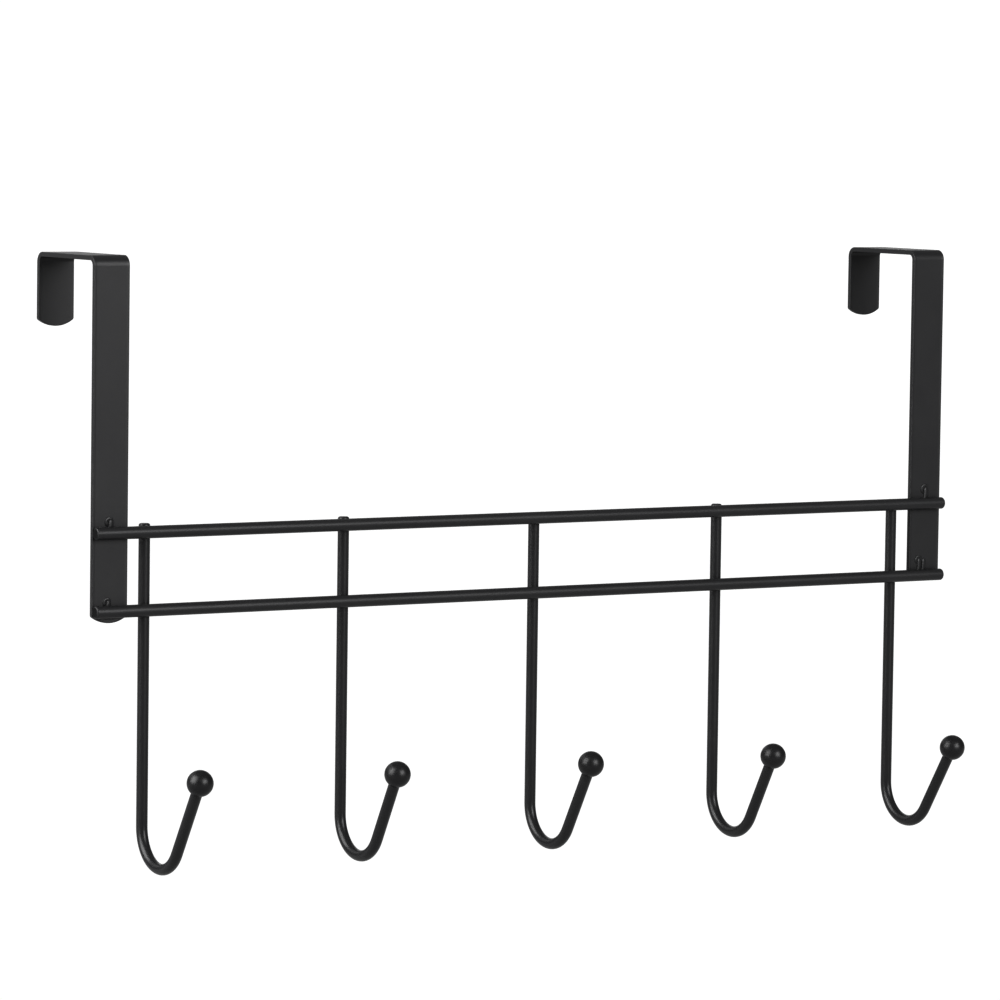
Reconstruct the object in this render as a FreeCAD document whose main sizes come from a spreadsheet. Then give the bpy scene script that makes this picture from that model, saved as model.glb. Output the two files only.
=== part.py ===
# Over door hook rack: two bent steel straps, two round rails and five wire hooks with ball tips.
#
# X runs along the rails, Y away from the room into the door, Z up. The origin lies midway between
# the straps, on the front face of their long legs and on the underside of the bridges that rest on
# the door's top edge. Every piece is drawn in its own body and placed from the sheet's sizes.
import os
from math import cos, pi, radians, sin

import FreeCAD
import Part
import Sketcher
from FreeCAD import Vector

doc = FreeCAD.newDocument("OverDoorHook")

# Driving sizes in millimetres and degrees, each written once. leg_overhang is from the lower rail's
# centre to the leg's tip, and outer_hook_inset from a strap's inner edge to the nearest hook's centre
# line. The five hooks are numbered from the left. Each was bent and welded on by hand, so it has its
# own fall from the lower rail's centre to the middle of its bend, its own rise of the wire's cut top
# over the upper rail, its own lean of the limb from upright, and its own reach along the limb from
# the bend to the ball's centre.
sheet = doc.addObject("Spreadsheet::Sheet", "Dimensions")
SIZES = (
    # straps
    ("strap_spacing", 414.0),
    ("strap_width", 16.3),
    ("strap_thickness", 2.0),
    ("door_gap", 46.0),
    ("leg_overhang_left", 4.8),
    ("leg_overhang_right", 2.8),
    ("tongue_drop", 28.7),
    ("bend_inner_radius", 2.2),
    ("tip_radius", 13.2),
    ("tip_corner_radius", 1.2),
    ("edge_round", 0.3),
    # rails
    ("rail_radius", 2.55),
    ("rail_upper_drop", 111.0),
    ("rail_pitch", 32.1),
    ("rail_end_round", 0.8),
    # hooks
    ("wire_radius", 2.35),
    ("outer_hook_inset", 8.9),
    ("wire_top_round", 0.9),
    ("hook_bend_radius", 15.9),
    ("ball_radius", 5.45),
    ("bore_depth", 4.5),
    ("bore_clearance", 0.05),
    # each hook's own bends
    ("hook_fall_1", 89.5),
    ("top_rise_1", 0.8),
    ("limb_angle_1", 30.8),
    ("ball_reach_1", 36.5),
    ("hook_fall_2", 89.9),
    ("top_rise_2", 0.6),
    ("limb_angle_2", 28.4),
    ("ball_reach_2", 33.2),
    ("hook_fall_3", 90.8),
    ("top_rise_3", -0.5),
    ("limb_angle_3", 30.2),
    ("ball_reach_3", 34.4),
    ("hook_fall_4", 91.5),
    ("top_rise_4", 0.3),
    ("limb_angle_4", 29.7),
    ("ball_reach_4", 32.7),
    ("hook_fall_5", 92.3),
    ("top_rise_5", -0.5),
    ("limb_angle_5", 33.4),
    ("ball_reach_5", 34.7),
    # welds: how far each wire is pressed flat, and how long a pressed land is
    ("rail_set_down", 0.3),
    ("wire_set_down", 0.2),
    ("land_length", 3.6),
    ("tack_half_width", 1.1),
    ("tack_half_height", 2.9),
    ("tack_stand_off", 1.2),
    ("tack_rise_left", 2.4),
    ("tack_rise_right", 3.8),
    # each tack's place beside its strap's centre line
    ("tack_shift_1", 0.3),
    ("tack_shift_2", -0.9),
    ("tack_shift_3", 0.0),
    ("tack_shift_4", -2.7),
    ("tack_shift_5", -0.2),
    # the waste beyond a piece that a trimming cut takes away
    ("trim_margin", 1.0),
)
# Sizes that follow from the driving ones. Five hooks leave four equal gaps.
FOLLOWING = (
    ("rail_lower_drop", "=rail_upper_drop + rail_pitch"),
    ("leg_drop_left", "=rail_lower_drop + leg_overhang_left"),
    ("leg_drop_right", "=rail_lower_drop + leg_overhang_right"),
    ("hook_pitch", "=(strap_spacing - strap_width) / 4 - outer_hook_inset / 2"),
    ("rack_width", "=strap_spacing + strap_width"),
)
for row, (alias, value) in enumerate(SIZES + FOLLOWING, start=1):
    sheet.set(f"A{row}", alias)
    sheet.set(f"B{row}", str(value))
    sheet.setAlias(f"B{row}", alias)
doc.recompute()
size = {alias: float(sheet.get(alias)) for alias, value in SIZES + FOLLOWING}

HOOKS = range(1, 6)
MIDDLE_HOOK = 3

# How closely lines and edges are told apart, in millimetres or as a cosine, and the least volume in
# cubic millimetres that a real cut takes away. A tip's cut takes less than TIP_SHARE of its strap.
LEVEL = 1e-9
SAME_PLACE = 1e-4
PARALLEL = 0.999
REAL_CUT = 1.0
TIP_SHARE = 0.01

# One whole turn, in degrees.
FULL_TURN = 360


def named(alias):
    return f"Dimensions.{alias}"


def plane(body, role):
    for feature in body.Origin.OriginFeatures:
        if feature.Role == role:
            return feature
    raise RuntimeError(f"no {role} in {body.Name}")


def new_body(label):
    body = doc.addObject("PartDesign::Body", label)
    body.Label = label
    return body


def new_sketch(body, name, role, offset=None):
    """A sketch on one of the body's own planes; offset is an expression along the plane's normal."""
    drawing = body.newObject("Sketcher::SketchObject", name)
    drawing.AttachmentSupport = (plane(body, role), [""])
    drawing.MapMode = "FlatFace"
    if offset:
        drawing.setExpression("AttachmentOffset.Base.z", offset)
    return drawing


def dimension(drawing, kind, *where, value, bound):
    """Adds one dimension to a sketch and binds it to the sheet."""
    index = drawing.addConstraint(Sketcher.Constraint(kind, *where, value))
    drawing.setExpression(f"Constraints[{index}]", bound)


def outline(drawing, corners):
    """A closed run of level and upright lines through the given corners; returns the line numbers."""
    lines = []
    for index, corner in enumerate(corners):
        following = corners[(index + 1) % len(corners)]
        line = Part.LineSegment(Vector(corner[0], corner[1], 0), Vector(following[0], following[1], 0))
        lines.append(drawing.addGeometry(line, False))
        level = abs(corner[1] - following[1]) < LEVEL
        drawing.addConstraint(Sketcher.Constraint("Horizontal" if level else "Vertical", lines[-1]))
    for index, line in enumerate(lines):
        following = lines[(index + 1) % len(lines)]
        drawing.addConstraint(Sketcher.Constraint("Coincident", line, 2, following, 1))
    return lines


def block(drawing, left, low, right, high):
    """A box outline whose four sides are each a (value, expression) pair measured from the origin."""
    corners = [(left[0], low[0]), (right[0], low[0]), (right[0], high[0]), (left[0], high[0])]
    lines = outline(drawing, corners)
    for kind, point, pair in (
        ("DistanceX", (lines[0], 1), left),
        ("DistanceX", (lines[1], 1), right),
        ("DistanceY", (lines[1], 1), low),
        ("DistanceY", (lines[2], 1), high),
    ):
        dimension(drawing, kind, -1, 1, *point, value=pair[0], bound=pair[1])


def pad(body, name, drawing, length):
    feature = body.newObject("PartDesign::Pad", name)
    feature.Profile = drawing
    feature.Midplane = True
    feature.setExpression("Length", length)
    doc.recompute()
    return feature


def through_cut(body, name, drawing, both_ways=True, reversed_way=False):
    feature = body.newObject("PartDesign::Pocket", name)
    feature.Profile = drawing
    feature.Type = "ThroughAll"
    feature.Midplane = both_ways
    feature.Reversed = reversed_way
    doc.recompute()
    return feature


def fillet(body, name, choose, radius):
    """Rounds the edges of the body's shape so far that choose() accepts."""
    base = body.Tip
    edges = [f"Edge{i}" for i, edge in enumerate(base.Shape.Edges, start=1) if choose(base.Shape, edge)]
    if not edges:
        raise RuntimeError(f"{body.Label}: no edges for {name}")
    feature = body.newObject("PartDesign::Fillet", name)
    feature.Base = (base, edges)
    feature.setExpression("Radius", radius)
    doc.recompute()
    return feature


def along(edge, axis):
    ends = edge.Vertexes
    if len(ends) != 2 or edge.Curve.TypeId != "Part::GeomLine":
        return False
    way = ends[1].Point.sub(ends[0].Point)
    return way.Length > SAME_PLACE and abs(way.normalize().dot(axis)) > PARALLEL


def near(edge, **wanted):
    middle = edge.CenterOfMass
    return all(abs(getattr(middle, axis) - value) < SAME_PLACE for axis, value in wanted.items())


# Straps: a strip bent over the door, with a long leg in front and a short tongue behind.
half_width = size["strap_width"] / 2
gap_far = size["strap_thickness"] + size["door_gap"]
strap_back = gap_far + size["strap_thickness"]


def tip_cut(body, name, drop, drop_name, offset, both_ways):
    """Trims a strip's end to a shallow arc that runs into both sides with small round corners."""
    drawing = new_sketch(body, name + "_outline", "XZ_Plane", offset)
    radius, corner = size["tip_radius"], size["tip_corner_radius"]
    centre = Vector(0, -drop + radius, 0)
    low = -drop - size["trim_margin"]
    corner_x = half_width - corner
    corner_z = centre.y - ((radius - corner) ** 2 - corner_x ** 2) ** 0.5
    lean = (Vector(corner_x, corner_z, 0) - centre).getAngle(Vector(1, 0, 0))
    up = Vector(0, 0, 1)
    bow = drawing.addGeometry(Part.ArcOfCircle(Part.Circle(centre, up, radius), lean - pi, -lean), False)
    right_circle = Part.Circle(Vector(corner_x, corner_z, 0), up, corner)
    left_circle = Part.Circle(Vector(-corner_x, corner_z, 0), up, corner)
    right = drawing.addGeometry(Part.ArcOfCircle(right_circle, -lean, 0), False)
    left = drawing.addGeometry(Part.ArcOfCircle(left_circle, pi, pi + lean), False)
    points = [(half_width, corner_z), (half_width, low), (-half_width, low), (-half_width, corner_z)]
    lines = []
    for start, end in zip(points, points[1:]):
        line = Part.LineSegment(Vector(start[0], start[1], 0), Vector(end[0], end[1], 0))
        lines.append(drawing.addGeometry(line, False))
    drawing.addConstraint(Sketcher.Constraint("Horizontal", lines[1]))
    for line in (lines[0], lines[2]):
        drawing.addConstraint(Sketcher.Constraint("Vertical", line))
    for joint in ((lines[0], 2, lines[1], 1), (lines[1], 2, lines[2], 1)):
        drawing.addConstraint(Sketcher.Constraint("Coincident", *joint))
    for joint in ((bow, 2, right, 1), (left, 2, bow, 1), (right, 2, lines[0], 1), (lines[2], 2, left, 1)):
        drawing.addConstraint(Sketcher.Constraint("Tangent", *joint))
    drawing.addConstraint(Sketcher.Constraint("PointOnObject", bow, 3, -2))
    drawing.addConstraint(Sketcher.Constraint("Equal", left, right))
    dimension(drawing, "Radius", bow, value=radius, bound=named("tip_radius"))
    dimension(drawing, "Radius", right, value=corner, bound=named("tip_corner_radius"))
    bound = f"{named('tip_radius')} - {named(drop_name)}"
    dimension(drawing, "DistanceY", -1, 1, bow, 3, value=centre.y, bound=bound)
    half_name = f"{named('strap_width')} / 2"
    dimension(drawing, "DistanceX", -1, 1, lines[0], 2, value=half_width, bound=half_name)
    dimension(drawing, "DistanceX", -1, 1, lines[2], 1, value=-half_width, bound=f"-{half_name}")
    bound = f"-{named(drop_name)} - {named('trim_margin')}"
    dimension(drawing, "DistanceY", -1, 1, lines[1], 1, value=low, bound=bound)
    doc.recompute()
    before = body.Tip.Shape.Volume
    cut = through_cut(body, name, drawing, both_ways)
    if not both_ways and before - cut.Shape.Volume > before * TIP_SHARE:
        cut.Reversed = not cut.Reversed
        doc.recompute()
    if not REAL_CUT < before - cut.Shape.Volume < before * TIP_SHARE:
        raise RuntimeError(f"{name} took away {before - cut.Shape.Volume} cubic mm")


def is_thin_side(face):
    surface = face.Surface
    if surface.TypeId == "Part::GeomPlane":
        return abs(surface.Axis.x) > PARALLEL
    return abs(surface.Axis.y) > PARALLEL


def on_outline(shape, edge):
    """True for an edge between a broad face of the strip and its thin side."""
    faces = shape.ancestorsOfType(edge, Part.Face)
    return len(faces) == 2 and is_thin_side(faces[0]) != is_thin_side(faces[1])


def make_strap(end, side):
    label, leg_name = f"strap_{end}", f"leg_drop_{end}"
    body = new_body(label)
    drawing = new_sketch(body, label + "_profile", "YZ_Plane")
    thick, leg, tongue = size["strap_thickness"], -size[leg_name], -size["tongue_drop"]
    corners = [
        (0, leg), (0, thick), (strap_back, thick), (strap_back, tongue),
        (gap_far, tongue), (gap_far, 0), (thick, 0), (thick, leg),
    ]
    lines = outline(drawing, corners)
    drawing.addConstraint(Sketcher.Constraint("PointOnObject", lines[0], 1, -2))
    drawing.addConstraint(Sketcher.Constraint("PointOnObject", lines[5], 1, -1))
    far = f"{named('strap_thickness')} + {named('door_gap')}"
    back = f"{named('strap_thickness')} * 2 + {named('door_gap')}"
    for kind, line, value, bound in (
        ("DistanceY", lines[0], leg, f"-{named(leg_name)}"),
        ("DistanceY", lines[1], thick, named("strap_thickness")),
        ("DistanceX", lines[2], strap_back, back),
        ("DistanceY", lines[4], tongue, f"-{named('tongue_drop')}"),
        ("DistanceX", lines[5], gap_far, far),
        ("DistanceX", lines[6], thick, named("strap_thickness")),
    ):
        dimension(drawing, kind, -1, 1, line, 1, value=value, bound=bound)
    doc.recompute()
    pad(body, label + "_strip", drawing, named("strap_width"))
    x_way = Vector(1, 0, 0)
    inner = ((thick, 0), (gap_far, 0))
    outer = ((0, thick), (strap_back, thick))
    fillet(body, label + "_inner_bends",
           lambda shape, edge: along(edge, x_way) and any(near(edge, y=y, z=z) for y, z in inner),
           named("bend_inner_radius"))
    fillet(body, label + "_outer_bends",
           lambda shape, edge: along(edge, x_way) and any(near(edge, y=y, z=z) for y, z in outer),
           f"{named('bend_inner_radius')} + {named('strap_thickness')}")
    tip_cut(body, label + "_leg_tip", size[leg_name], leg_name, None, True)
    # the tongue's cut starts in the middle of the door gap, so that it clears the leg
    middle = f"-({named('strap_thickness')} + {named('door_gap')} / 2)"
    tip_cut(body, label + "_tongue_tip", size["tongue_drop"], "tongue_drop", middle, False)
    fillet(body, label + "_soft_edges", on_outline, named("edge_round"))
    body.setExpression("Placement.Base.x", f"{side} * {named('strap_spacing')} / 2")
    return body


# Rails: straight round wires as long as the rack is wide, pressed flat where they are welded.
rail_axis = size["rail_radius"] - size["rail_set_down"]


def make_rail(label, drop):
    body = new_body(label)
    drawing = new_sketch(body, label + "_section", "YZ_Plane")
    drawing.addGeometry(Part.Circle(Vector(0, 0, 0), Vector(0, 0, 1), size["rail_radius"]), False)
    drawing.addConstraint(Sketcher.Constraint("Coincident", 0, 3, -1, 1))
    dimension(drawing, "Radius", 0, value=size["rail_radius"], bound=named("rail_radius"))
    pad(body, label + "_wire", drawing, named("rack_width"))
    fillet(body, label + "_ends",
           lambda shape, edge: edge.Curve.TypeId == "Part::GeomCircle",
           named("rail_end_round"))

    flat = (rail_axis, f"{named('rail_radius')} - {named('rail_set_down')}")
    beyond = (size["rail_radius"] + size["trim_margin"], f"{named('rail_radius')} + {named('trim_margin')}")
    # a land under each strap, running out past the rail's end
    inside = (size["strap_spacing"] - size["strap_width"]) / 2
    outside = size["rack_width"] / 2 + size["trim_margin"]
    inside_name = f"({named('strap_spacing')} - {named('strap_width')}) / 2"
    outside_name = f"{named('rack_width')} / 2 + {named('trim_margin')}"
    lands = new_sketch(body, label + "_strap_lands_outline", "XY_Plane")
    block(lands, (inside, inside_name), flat, (outside, outside_name), beyond)
    block(lands, (-outside, f"-({outside_name})"), flat, (-inside, f"-({inside_name})"), beyond)
    doc.recompute()
    through_cut(body, label + "_strap_lands", lands)
    # one land per hook, repeated along the rail
    half = f"{named('land_length')} / 2"
    first = (HOOKS[0] - MIDDLE_HOOK) * size["hook_pitch"]
    first_name = f"{HOOKS[0] - MIDDLE_HOOK} * {named('hook_pitch')}"
    land = new_sketch(body, label + "_hook_land_outline", "XY_Plane")
    block(land, (first - size["land_length"] / 2, f"{first_name} - {half}"), flat,
          (first + size["land_length"] / 2, f"{first_name} + {half}"), beyond)
    doc.recompute()
    cut = through_cut(body, label + "_hook_land", land)
    before = cut.Shape.Volume
    pattern = body.newObject("PartDesign::LinearPattern", label + "_hook_lands")
    pattern.Originals = [cut]
    pattern.Direction = (land, ["H_Axis"])
    pattern.Occurrences = len(HOOKS)
    pattern.setExpression("Length", f"{len(HOOKS) - 1} * {named('hook_pitch')}")
    body.Tip = pattern
    doc.recompute()
    if pattern.Shape.Volume > before - REAL_CUT:
        raise RuntimeError(f"{label}: the hook lands were not repeated")
    body.setExpression("Placement.Base.y", f"{named('rail_set_down')} - {named('rail_radius')}")
    body.setExpression("Placement.Base.z", drop)
    return body


# Hooks: each wire hangs from both rails, turns forward and rises to a ball.
wire_axis = f"({named('wire_radius')} - {named('wire_set_down')})"


def bend_level(number):
    """The level of the middle of a hook's bend, as a number and as an expression."""
    value = -size["rail_lower_drop"] - size[f"hook_fall_{number}"]
    return value, f"-({named('rail_lower_drop')} + {named(f'hook_fall_{number}')})"


def limb_lean(number):
    """How far a hook's limb leans from upright, in radians and as an expression."""
    return radians(size[f"limb_angle_{number}"]), f"({named(f'limb_angle_{number}')} * 1 deg)"


def limb_length(number):
    """From the bend's end to the wire's end inside the ball, as a number and as an expression."""
    value = size[f"ball_reach_{number}"] - size["ball_radius"] + size["bore_depth"]
    return value, f"{named(f'ball_reach_{number}')} - {named('ball_radius')} + {named('bore_depth')}"


def wire_top(number):
    """The level of a wire's cut top, as a number and as an expression."""
    value = -size["rail_upper_drop"] + size["rail_radius"] + size[f"top_rise_{number}"]
    return value, f"-{named('rail_upper_drop')} + {named('rail_radius')} + {named(f'top_rise_{number}')}"


def across(number):
    """A hook's place along the rails, as an expression."""
    return f"{number - MIDDLE_HOOK} * {named('hook_pitch')}"


def make_wire(number):
    label = f"hook_wire_{number}"
    body = new_body(label)
    path = new_sketch(body, label + "_path", "YZ_Plane")
    radius = size["hook_bend_radius"]
    low, low_name = bend_level(number)
    limb, limb_name = limb_length(number)
    turn, turn_name = limb_lean(number)
    top, top_name = wire_top(number)
    foot = Vector(-radius - radius * cos(turn), low - radius * sin(turn), 0)
    head = foot + Vector(-limb * sin(turn), limb * cos(turn), 0)
    shank = path.addGeometry(Part.LineSegment(Vector(0, top, 0), Vector(0, low, 0)), False)
    circle = Part.Circle(Vector(-radius, low, 0), Vector(0, 0, 1), radius)
    bend = path.addGeometry(Part.ArcOfCircle(circle, pi + turn, 2 * pi), False)
    rise = path.addGeometry(Part.LineSegment(foot, head), False)
    path.addConstraint(Sketcher.Constraint("PointOnObject", shank, 1, -2))
    path.addConstraint(Sketcher.Constraint("Vertical", shank))
    path.addConstraint(Sketcher.Constraint("Tangent", shank, 2, bend, 2))
    path.addConstraint(Sketcher.Constraint("Tangent", bend, 1, rise, 1))
    dimension(path, "DistanceY", -1, 1, shank, 1, value=top, bound=top_name)
    dimension(path, "DistanceY", -1, 1, shank, 2, value=low, bound=low_name)
    dimension(path, "Radius", bend, value=radius, bound=named("hook_bend_radius"))
    dimension(path, "Distance", rise, value=limb, bound=limb_name)
    bound = f"({limb_name}) * cos{turn_name}"
    dimension(path, "DistanceY", rise, 1, rise, 2, value=limb * cos(turn), bound=bound)
    section = new_sketch(body, label + "_section", "XY_Plane", top_name)
    section.addGeometry(Part.Circle(Vector(0, 0, 0), Vector(0, 0, 1), size["wire_radius"]), False)
    section.addConstraint(Sketcher.Constraint("Coincident", 0, 3, -1, 1))
    dimension(section, "Radius", 0, value=size["wire_radius"], bound=named("wire_radius"))
    doc.recompute()
    pipe = body.newObject("PartDesign::AdditivePipe", label + "_wire")
    pipe.Profile = section
    pipe.Spine = (path, ["Edge1", "Edge2", "Edge3"])
    doc.recompute()
    fillet(body, label + "_top",
           lambda shape, edge: edge.Curve.TypeId == "Part::GeomCircle" and near(edge, z=top),
           named("wire_top_round"))
    # the lands pressed against the two rails
    front = size["wire_radius"] - size["wire_set_down"]
    outer = size["wire_radius"] + size["trim_margin"]
    lands = new_sketch(body, label + "_lands_outline", "YZ_Plane")
    half, half_name = size["land_length"] / 2, f"{named('land_length')} / 2"
    for level, level_name in (
        (-size["rail_upper_drop"], f"-{named('rail_upper_drop')}"),
        (-size["rail_lower_drop"], f"-{named('rail_lower_drop')}"),
    ):
        block(lands, (-outer, f"-({named('wire_radius')} + {named('trim_margin')})"),
              (level - half, f"{level_name} - {half_name}"),
              (-front, f"-{wire_axis}"),
              (level + half, f"{level_name} + {half_name}"))
    doc.recompute()
    through_cut(body, label + "_lands", lands)
    body.setExpression("Placement.Base.x", across(number))
    body.setExpression("Placement.Base.y", wire_axis)
    return body


def make_ball(number):
    """A ball with a flat-bottomed blind bore from below, in which the wire's end sits."""
    label = f"hook_ball_{number}"
    body = new_body(label)
    drawing = new_sketch(body, label + "_half", "XZ_Plane")
    radius, bore = size["ball_radius"], size["wire_radius"] + size["bore_clearance"]
    seat = -(radius - size["bore_depth"])
    mouth = -(radius ** 2 - bore ** 2) ** 0.5
    lip = Vector(bore, mouth, 0)
    circle = Part.Circle(Vector(0, 0, 0), Vector(0, 0, 1), radius)
    finish = -lip.getAngle(Vector(1, 0, 0))
    arc = drawing.addGeometry(Part.ArcOfCircle(circle, finish, pi / 2), False)
    points = [Vector(0, radius, 0), Vector(0, seat, 0), Vector(bore, seat, 0), lip]
    lines = [drawing.addGeometry(Part.LineSegment(a, b), False) for a, b in zip(points, points[1:])]
    for kind, line in (("Vertical", lines[0]), ("Horizontal", lines[1]), ("Vertical", lines[2])):
        drawing.addConstraint(Sketcher.Constraint(kind, line))
    chain = (arc, lines[0], lines[1], lines[2], arc)
    for joint in ((first, 2, second, 1) for first, second in zip(chain, chain[1:])):
        drawing.addConstraint(Sketcher.Constraint("Coincident", *joint))
    drawing.addConstraint(Sketcher.Constraint("Coincident", arc, 3, -1, 1))
    drawing.addConstraint(Sketcher.Constraint("PointOnObject", lines[0], 1, -2))
    dimension(drawing, "Radius", arc, value=radius, bound=named("ball_radius"))
    bound = f"{named('wire_radius')} + {named('bore_clearance')}"
    dimension(drawing, "DistanceX", -1, 1, lines[2], 1, value=bore, bound=bound)
    bound = f"{named('bore_depth')} - {named('ball_radius')}"
    dimension(drawing, "DistanceY", -1, 1, lines[1], 1, value=seat, bound=bound)
    doc.recompute()
    turned = body.newObject("PartDesign::Revolution", label + "_turned")
    turned.Profile = drawing
    turned.ReferenceAxis = (drawing, ["V_Axis"])
    turned.Angle = FULL_TURN
    doc.recompute()
    bend, reach = named("hook_bend_radius"), named(f"ball_reach_{number}")
    level, turn = bend_level(number)[1], limb_lean(number)[1]
    body.Placement.Rotation = FreeCAD.Rotation(Vector(1, 0, 0), size[f"limb_angle_{number}"])
    body.setExpression("Placement.Rotation.Angle", turn)
    body.setExpression("Placement.Base.x", across(number))
    body.setExpression("Placement.Base.y", f"{wire_axis} - {bend} * (1 + cos{turn}) - {reach} * sin{turn}")
    body.setExpression("Placement.Base.z", f"{reach} * cos{turn} - {bend} * sin{turn} + {level}")
    return body


# Weld tacks: small drops of weld standing on the rails against the straps.
upper_level = f"-{named('rail_upper_drop')}"
lower_level = f"-{named('rail_lower_drop')}"


def tack_backing():
    """What the drops lie against: the straps' front faces and the two rails."""
    wall = doc.addObject("Part::Box", "tack_wall")
    wall.setExpression("Length", named("rack_width"))
    wall.setExpression("Width", f"{named('tack_stand_off')} + {named('trim_margin')}")
    wall.setExpression("Height", named("leg_drop_left"))
    wall.setExpression("Placement.Base.x", f"-{named('rack_width')} / 2")
    wall.setExpression("Placement.Base.z", f"-{named('leg_drop_left')}")
    pieces = [wall]
    for name, level in (("tack_rail_upper", upper_level), ("tack_rail_lower", lower_level)):
        rod = doc.addObject("Part::Cylinder", name)
        rod.setExpression("Radius", named("rail_radius"))
        rod.setExpression("Height", named("rack_width"))
        rod.Placement.Rotation = FreeCAD.Rotation(Vector(0, 1, 0), 90)
        rod.setExpression("Placement.Base.x", f"-{named('rack_width')} / 2")
        rod.setExpression("Placement.Base.y", f"{named('rail_set_down')} - {named('rail_radius')}")
        rod.setExpression("Placement.Base.z", level)
        pieces.append(rod)
    backing = doc.addObject("Part::MultiFuse", "tack_backing")
    backing.Shapes = pieces
    return backing


def make_tacks(end, side, places, backing):
    """One strap's tacks; each place is a tack's number and its rail's level."""
    label = f"weld_tacks_{end}"
    drops = []
    for number, level in places:
        shift = named(f"tack_shift_{number}")
        drop = doc.addObject("Part::Ellipsoid", f"{label}_drop_{number}")
        drop.setExpression("Radius1", named("tack_half_height"))
        drop.setExpression("Radius2", named("tack_half_width"))
        drop.setExpression("Radius3", named("tack_stand_off"))
        drop.setExpression("Placement.Base.x", f"{side} * {named('strap_spacing')} / 2 + {shift}")
        drop.setExpression("Placement.Base.z", f"{level} + {named(f'tack_rise_{end}')}")
        drops.append(drop)
    together = doc.addObject("Part::MultiFuse", label + "_drops")
    together.Shapes = drops
    tacks = doc.addObject("Part::Cut", label)
    tacks.Label = label
    tacks.Base = together
    tacks.Tool = backing
    doc.recompute()
    return tacks


nodes = [make_strap("left", -1), make_strap("right", 1)]
nodes.append(make_rail("rail_upper", f"-{named('rail_upper_drop')}"))
nodes.append(make_rail("rail_lower", f"-{named('rail_lower_drop')}"))
for hook in HOOKS:
    nodes.append(make_wire(hook))
    nodes.append(make_ball(hook))
backing = tack_backing()
nodes.append(make_tacks("left", -1, ((1, upper_level), (2, lower_level)), backing))
nodes.append(make_tacks("right", 1, ((3, upper_level), (4, lower_level), (5, lower_level)), backing))
doc.recompute()

# Nothing is written unless every feature came out sound.
for item in doc.Objects:
    if {"Invalid", "Error"} & set(item.State):
        raise RuntimeError(f"{item.Name}: {item.State}")
for node in nodes:
    if node.Shape.isNull() or not node.Shape.isValid():
        raise RuntimeError(f"{node.Label} has no valid shape")

os.makedirs("parts", exist_ok=True)
for node in nodes:
    node.Shape.exportStep(f"parts/{node.Label}.step")
    print(node.Label, len(node.Shape.Solids), round(node.Shape.Volume, 2), node.Shape.BoundBox)
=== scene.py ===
"""Dresses the over door hook rack: satin black coat, welds, ball necks and a pale studio."""
from math import asin, atan2, cos, hypot, pi, radians, sin

import bpy
from bpy.props import FloatProperty, FloatVectorProperty, PointerProperty
from mathutils import Matrix, Vector


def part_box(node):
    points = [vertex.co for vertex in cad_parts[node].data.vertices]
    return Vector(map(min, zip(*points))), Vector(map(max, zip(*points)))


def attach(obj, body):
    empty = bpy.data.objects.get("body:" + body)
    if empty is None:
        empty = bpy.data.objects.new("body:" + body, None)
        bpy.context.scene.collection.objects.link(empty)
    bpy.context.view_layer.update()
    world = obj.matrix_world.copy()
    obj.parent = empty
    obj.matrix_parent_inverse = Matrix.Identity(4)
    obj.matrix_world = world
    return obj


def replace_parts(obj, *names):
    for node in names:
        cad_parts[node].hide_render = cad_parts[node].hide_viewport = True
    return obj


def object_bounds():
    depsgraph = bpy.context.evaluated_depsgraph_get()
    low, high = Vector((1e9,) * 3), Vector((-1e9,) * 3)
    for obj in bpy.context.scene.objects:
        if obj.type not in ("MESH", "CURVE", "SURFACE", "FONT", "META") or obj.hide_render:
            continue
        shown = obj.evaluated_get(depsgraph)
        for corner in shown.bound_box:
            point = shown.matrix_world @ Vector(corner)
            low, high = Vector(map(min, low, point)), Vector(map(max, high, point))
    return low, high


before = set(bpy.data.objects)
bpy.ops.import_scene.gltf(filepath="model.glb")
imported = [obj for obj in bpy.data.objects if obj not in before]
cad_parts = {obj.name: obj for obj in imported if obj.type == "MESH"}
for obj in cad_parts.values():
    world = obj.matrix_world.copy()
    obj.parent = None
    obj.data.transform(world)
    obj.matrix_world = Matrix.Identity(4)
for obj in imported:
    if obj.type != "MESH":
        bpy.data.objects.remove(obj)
cad_low, cad_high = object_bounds()

bl_info = {
    "name": "Over Door Hook Rack",
    "version": (1, 0, 0),
    "blender": (4, 5, 0),
    "location": "View3D > Sidebar > Hook Rack",
    "description": "Coats and finishes a welded over door hook rack",
    "category": "Object",
}

HOOKS = range(1, 6)

# The two kinds of socket on the node groups.
COLOUR = "NodeSocketColor"
NUMBER = "NodeSocketFloat"

# From the CAD: a hook's bend, at the middle of its wire, and the arc at a strap's foot.
BEND_RADIUS = 0.0159
FOOT_RADIUS = 0.0132

# The coat: how fine its clouds of tone and its grain are, the range that such a noise fills, the
# clouds' share in the gloss beside the grain's, and how far the roughness strays from its mean.
CLOUD_SCALE = 38.0
GRAIN_SCALE = 5200.0
NOISE_RANGE = (0.3, 0.7)
CLOUDS_IN_GLOSS = 0.6
ROUGHNESS_SPREAD = 0.035

# How near its edge the bead is at full height, as a share of its width, and how near a rail's end
# the painted shade on its cut is full, as a share of its depth.
BEAD_CREST = 0.35
CUT_CREST = 0.2

# The studio: the floor's side in metres; floor and background as the camera sees them, a little
# over white; and, in the X and Z of a direction, where the room dims and its ceiling begins.
FLOOR_SIZE = 12
FLOOR_SEEN = 1.15
WHITE_SEEN = (1.05, 1.05, 1.05, 1)
ROOM_DIMS = (-0.6, 0.9)
CEILING_BEGINS = (0.35, 0.85)


def node_middle(name):
    low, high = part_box(name)
    return (Vector(low) + Vector(high)) / 2


def hook_x(number):
    return node_middle(f"hook_wire_{number}").x


def rail_level(name):
    return node_middle(name).z


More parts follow.
